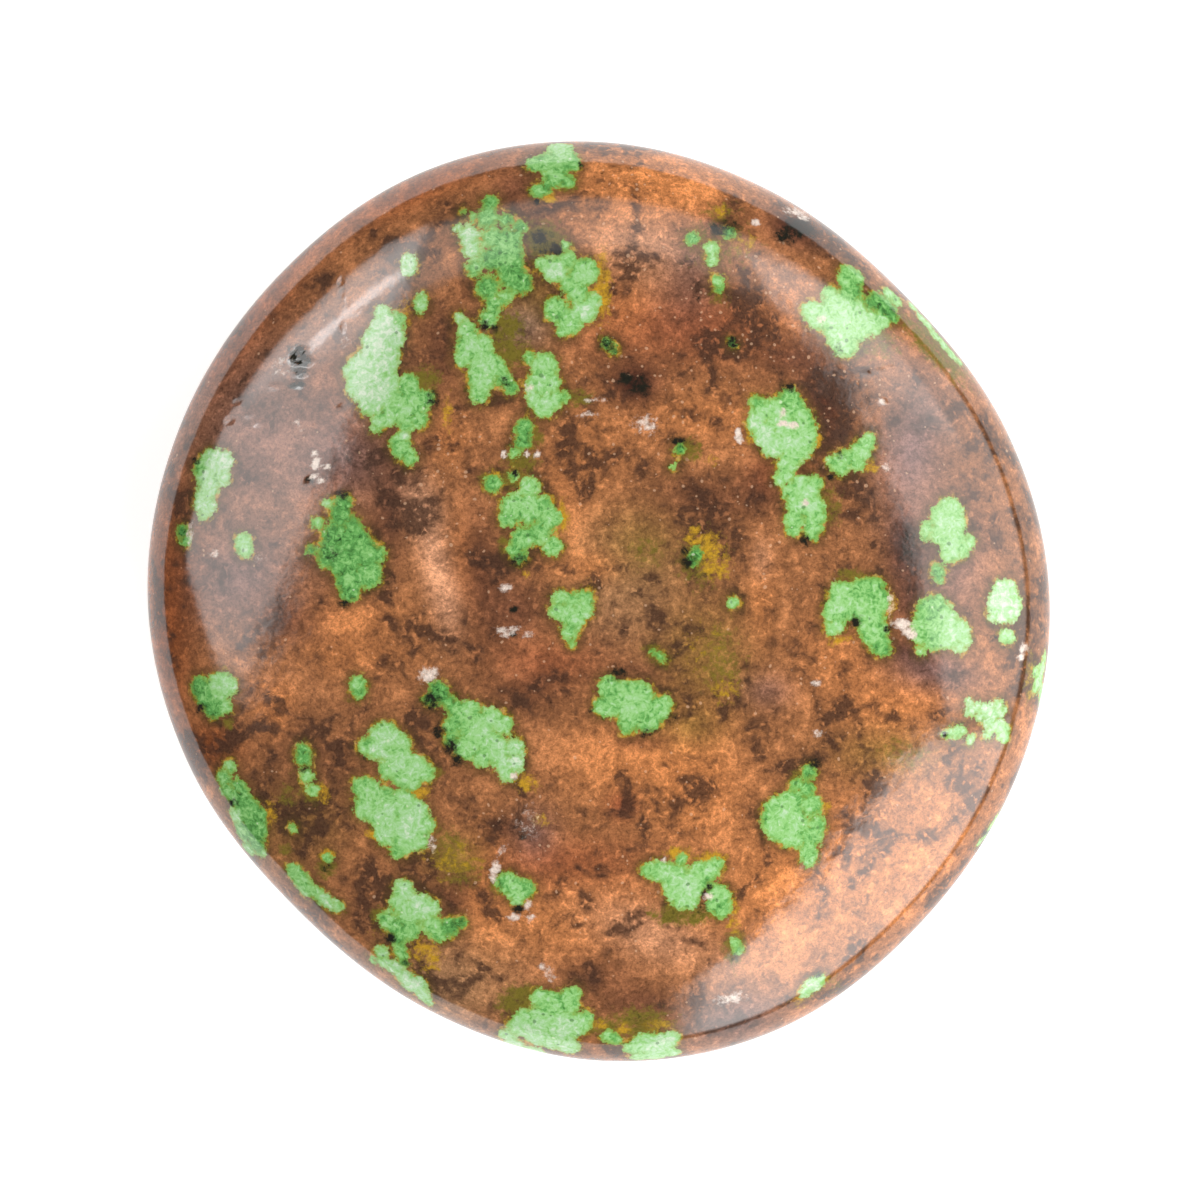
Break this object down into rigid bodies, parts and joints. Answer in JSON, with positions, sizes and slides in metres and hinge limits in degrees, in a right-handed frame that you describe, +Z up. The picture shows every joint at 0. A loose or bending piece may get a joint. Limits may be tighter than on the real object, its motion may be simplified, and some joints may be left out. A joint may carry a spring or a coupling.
{
  "type": "nundoorite pocket stone",
  "caption": "Flattened, polished round pebble of brown rock with green mineral patches, domed above and below, resting on a small flat spot.",
  "frame": {"origin": "centre of the bounding box in plan, at the height of the flat resting spot", "axes": "+Z up through the thickness, +Y along the slightly longer way across, +X to the right of the picture's view from above"},
  "size_m": [0.038, 0.0388, 0.0097],
  "materials": {
    "rock": "polished, mottled brown with green mineral patches"
  },
  "bodies": {
    "root": {"stone": "rock"}
  },
  "joints": []
}
